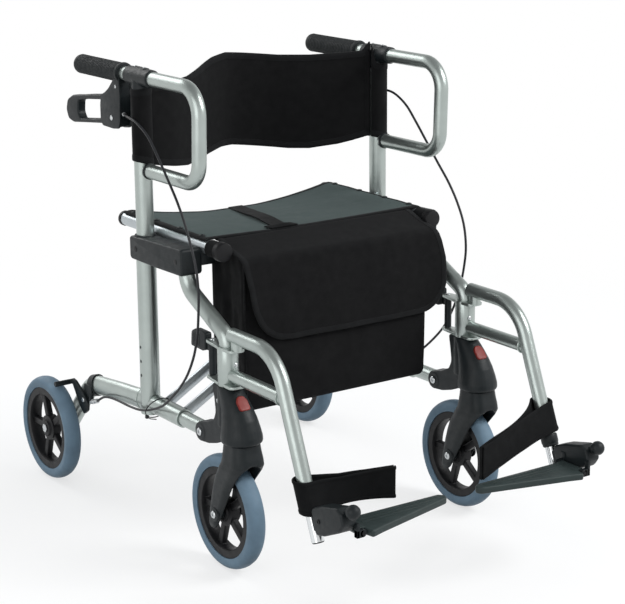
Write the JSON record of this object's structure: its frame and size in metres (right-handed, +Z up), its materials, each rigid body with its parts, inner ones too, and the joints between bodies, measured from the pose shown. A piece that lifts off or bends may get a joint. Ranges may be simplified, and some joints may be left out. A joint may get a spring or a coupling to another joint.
{
  "type": "folding rollator",
  "caption": "Folding four-wheeled walking aid that doubles as a transit chair, with fabric seat, swing-away footrests, backrest strap, bag and lever brakes.",
  "frame": {"origin": "on the floor, at the middle of the footprint's length and width", "axes": "+Z up, -Y towards the footrests and casters, +X towards the sitter's left"},
  "size_m": [0.6178, 1.0544, 0.8282],
  "materials": {
    "satin_aluminium": "satin pale champagne anodised",
    "bright_aluminium": "bright satin",
    "chrome": "bright plated",
    "charcoal_plastic": "moulded, fine grain",
    "footplate_plastic": "moulded, ribbed",
    "grip_rubber": "soft matt",
    "tyre_rubber": "grey-blue, non-marking",
    "cable_sheath": "smooth sheath",
    "seat_fabric": "woven grey cloth with black binding",
    "black_fabric": "black woven cloth",
    "black_webbing": "black elastic webbing"
  },
  "bodies": {
    "right_frame": {"right_lower_rail": "satin_aluminium", "right_rear_stay": "satin_aluminium", "right_post": "satin_aluminium", "right_front_leg": "satin_aluminium", "right_seat_bracket": "charcoal_plastic", "right_caster_housing": "charcoal_plastic", "right_brake_mount": "charcoal_plastic", "right_brake_cable": "cable_sheath"},
    "right_rear_wheel": {"right_rear_rim": "charcoal_plastic", "right_rear_tyre": "tyre_rubber"},
    "right_caster": {"right_caster_fork": "charcoal_plastic"},
    "right_front_wheel": {"right_front_rim": "charcoal_plastic", "right_front_tyre": "tyre_rubber"},
    "right_handle": {"right_upper_post": "satin_aluminium", "right_armrest": "satin_aluminium", "right_handle_clamp": "charcoal_plastic", "right_grip": "grip_rubber", "right_brake_body": "charcoal_plastic", "backrest": "black_fabric"},
    "right_lever": {"right_brake_lever": "charcoal_plastic"},
    "right_wheel_brake": {"right_brake_arm": "charcoal_plastic"},
    "right_footrest_hanger": {"right_hanger": "satin_aluminium"},
    "right_latch": {"right_swing_latch": "charcoal_plastic"},
    "right_footrest": {"right_footrest_tube": "chrome", "right_foot_block": "charcoal_plastic", "right_heel_strap": "black_webbing"},
    "right_footplate": {"right_footplate": "footplate_plastic"},
    "left_frame": {"left_lower_rail": "satin_aluminium", "left_rear_stay": "satin_aluminium", "left_post": "satin_aluminium", "left_front_leg": "satin_aluminium", "left_seat_bracket": "charcoal_plastic", "left_caster_housing": "charcoal_plastic", "left_brake_mount": "charcoal_plastic", "left_brake_cable": "cable_sheath"},
    "left_rear_wheel": {"left_rear_rim": "charcoal_plastic", "left_rear_tyre": "tyre_rubber"},
    "left_caster": {"left_caster_fork": "charcoal_plastic"},
    "left_front_wheel": {"left_front_rim": "charcoal_plastic", "left_front_tyre": "tyre_rubber"},
    "left_handle": {"left_upper_post": "satin_aluminium", "left_armrest": "satin_aluminium", "left_handle_clamp": "charcoal_plastic", "left_grip": "grip_rubber", "left_brake_body": "charcoal_plastic"},
    "left_lever": {"left_brake_lever": "charcoal_plastic"},
    "left_wheel_brake": {"left_brake_arm": "charcoal_plastic"},
    "left_footrest_hanger": {"left_hanger": "satin_aluminium"},
    "left_latch": {"left_swing_latch": "charcoal_plastic"},
    "left_footrest": {"left_footrest_tube": "chrome", "left_foot_block": "charcoal_plastic", "left_heel_strap": "black_webbing"},
    "left_footplate": {"left_footplate": "footplate_plastic"},
    "brace_a": {"right_brace": "bright_aluminium", "left_seat_rail": "bright_aluminium", "brace_bolt": "chrome"},
    "brace_b": {"left_brace": "bright_aluminium", "right_seat_rail": "bright_aluminium", "seat": "seat_fabric", "bag": "black_fabric"}
  },
  "joints": [
    {"name": "fold", "type": "hinge", "parent": "right_frame", "child": "brace_a", "pos_m": [-0.252, 0.03787, 0.228], "axis": [0, -1, 0], "range_deg": [0, 39], "deforming": ["seat", "bag", "backrest", "right_heel_strap", "left_heel_strap"]},
    {"name": "brace_cross", "type": "hinge", "parent": "brace_a", "child": "brace_b", "pos_m": [0, 0.03787, 0.376], "axis": [0, -1, 0], "range_deg": [-78, 0]},
    {"name": "left_frame_hinge", "type": "hinge", "parent": "brace_b", "child": "left_frame", "pos_m": [0.252, 0.03787, 0.228], "axis": [0, -1, 0], "range_deg": [0, 39]},
    {"name": "right_rear_wheel_spin", "type": "hinge", "parent": "right_frame", "child": "right_rear_wheel", "pos_m": [-0.2926, 0.42722, 0.1], "axis": [1, 0, 0], "continuous": true},
    {"name": "right_caster_swivel", "type": "hinge", "parent": "right_frame", "child": "right_caster", "pos_m": [-0.252, -0.19948, 0.238], "axis": [0, 0, 1], "continuous": true},
    {"name": "right_front_wheel_spin", "type": "hinge", "parent": "right_caster", "child": "right_front_wheel", "pos_m": [-0.252, -0.15148, 0.1], "axis": [1, 0, 0], "continuous": true},
    {"name": "right_handle_height", "type": "slide", "parent": "right_frame", "child": "right_handle", "axis": [0, 0, 1], "range_m": [0, 0.1]},
    {"name": "right_lever_squeeze", "type": "hinge", "parent": "right_handle", "child": "right_lever", "pos_m": [-0.252, 0.18987, 0.73], "axis": [1, 0, 0], "range_deg": [0, 10], "stiffness_Nm_per_rad": 1.5},
    {"name": "right_brake_press", "type": "hinge", "parent": "right_frame", "child": "right_wheel_brake", "pos_m": [-0.2715, 0.32387, 0.178], "axis": [-1, 0, 0], "range_deg": [0, 2]},
    {"name": "right_hanger_swing", "type": "hinge", "parent": "right_frame", "child": "right_footrest_hanger", "pos_m": [-0.252, -0.16113, 0.36], "axis": [0, 0, -1], "range_deg": [0, 90]},
    {"name": "right_latch_release", "type": "hinge", "parent": "right_footrest_hanger", "child": "right_latch", "pos_m": [-0.252, -0.11213, 0.38], "axis": [0, 0, 1], "range_deg": [0, 20], "stiffness_Nm_per_rad": 0.2},
    {"name": "right_footrest_length", "type": "slide", "parent": "right_footrest_hanger", "child": "right_footrest", "axis": [0, -0.3746, -0.9272], "range_m": [0, 0.08]},
    {"name": "right_footplate_flip", "type": "hinge", "parent": "right_footrest", "child": "right_footplate", "pos_m": [-0.229, -0.47713, 0.1715], "axis": [0, -1, 0], "range_deg": [0, 88]},
    {"name": "left_rear_wheel_spin", "type": "hinge", "parent": "left_frame", "child": "left_rear_wheel", "pos_m": [0.2926, 0.42722, 0.1], "axis": [1, 0, 0], "continuous": true},
    {"name": "left_caster_swivel", "type": "hinge", "parent": "left_frame", "child": "left_caster", "pos_m": [0.252, -0.19948, 0.238], "axis": [0, 0, 1], "continuous": true},
    {"name": "left_front_wheel_spin", "type": "hinge", "parent": "left_caster", "child": "left_front_wheel", "pos_m": [0.252, -0.15148, 0.1], "axis": [1, 0, 0], "continuous": true},
    {"name": "left_handle_height", "type": "slide", "parent": "left_frame", "child": "left_handle", "axis": [0, 0, 1], "range_m": [0, 0.1]},
    {"name": "left_lever_squeeze", "type": "hinge", "parent": "left_handle", "child": "left_lever", "pos_m": [0.252, 0.18987, 0.73], "axis": [1, 0, 0], "range_deg": [0, 10], "stiffness_Nm_per_rad": 1.5},
    {"name": "left_brake_press", "type": "hinge", "parent": "left_frame", "child": "left_wheel_brake", "pos_m": [0.2715, 0.32387, 0.178], "axis": [-1, 0, 0], "range_deg": [0, 2]},
    {"name": "left_hanger_swing", "type": "hinge", "parent": "left_frame", "child": "left_footrest_hanger", "pos_m": [0.252, -0.16113, 0.36], "axis": [0, 0, 1], "range_deg": [0, 90]},
    {"name": "left_latch_release", "type": "hinge", "parent": "left_footrest_hanger", "child": "left_latch", "pos_m": [0.252, -0.11213, 0.38], "axis": [0, 0, -1], "range_deg": [0, 20], "stiffness_Nm_per_rad": 0.2},
    {"name": "left_footrest_length", "type": "slide", "parent": "left_footrest_hanger", "child": "left_footrest", "axis": [0, -0.3746, -0.9272], "range_m": [0, 0.08]},
    {"name": "left_footplate_flip", "type": "hinge", "parent": "left_footrest", "child": "left_footplate", "pos_m": [0.229, -0.47713, 0.1715], "axis": [0, 1, 0], "range_deg": [0, 88]}
  ],
  "couplings": [
    {"joint": "brace_cross", "follows": "fold", "ratio": -2},
    {"joint": "left_frame_hinge", "follows": "fold", "ratio": 1},
    {"joint": "right_brake_press", "follows": "right_lever_squeeze", "ratio": 0.2},
    {"joint": "right_footplate_flip", "follows": "fold", "ratio": 2.2564},
    {"joint": "left_brake_press", "follows": "left_lever_squeeze", "ratio": 0.2},
    {"joint": "left_footplate_flip", "follows": "fold", "ratio": 2.2564},
    {"joint": "left_handle_height", "follows": "right_handle_height", "ratio": 1}
  ]
}
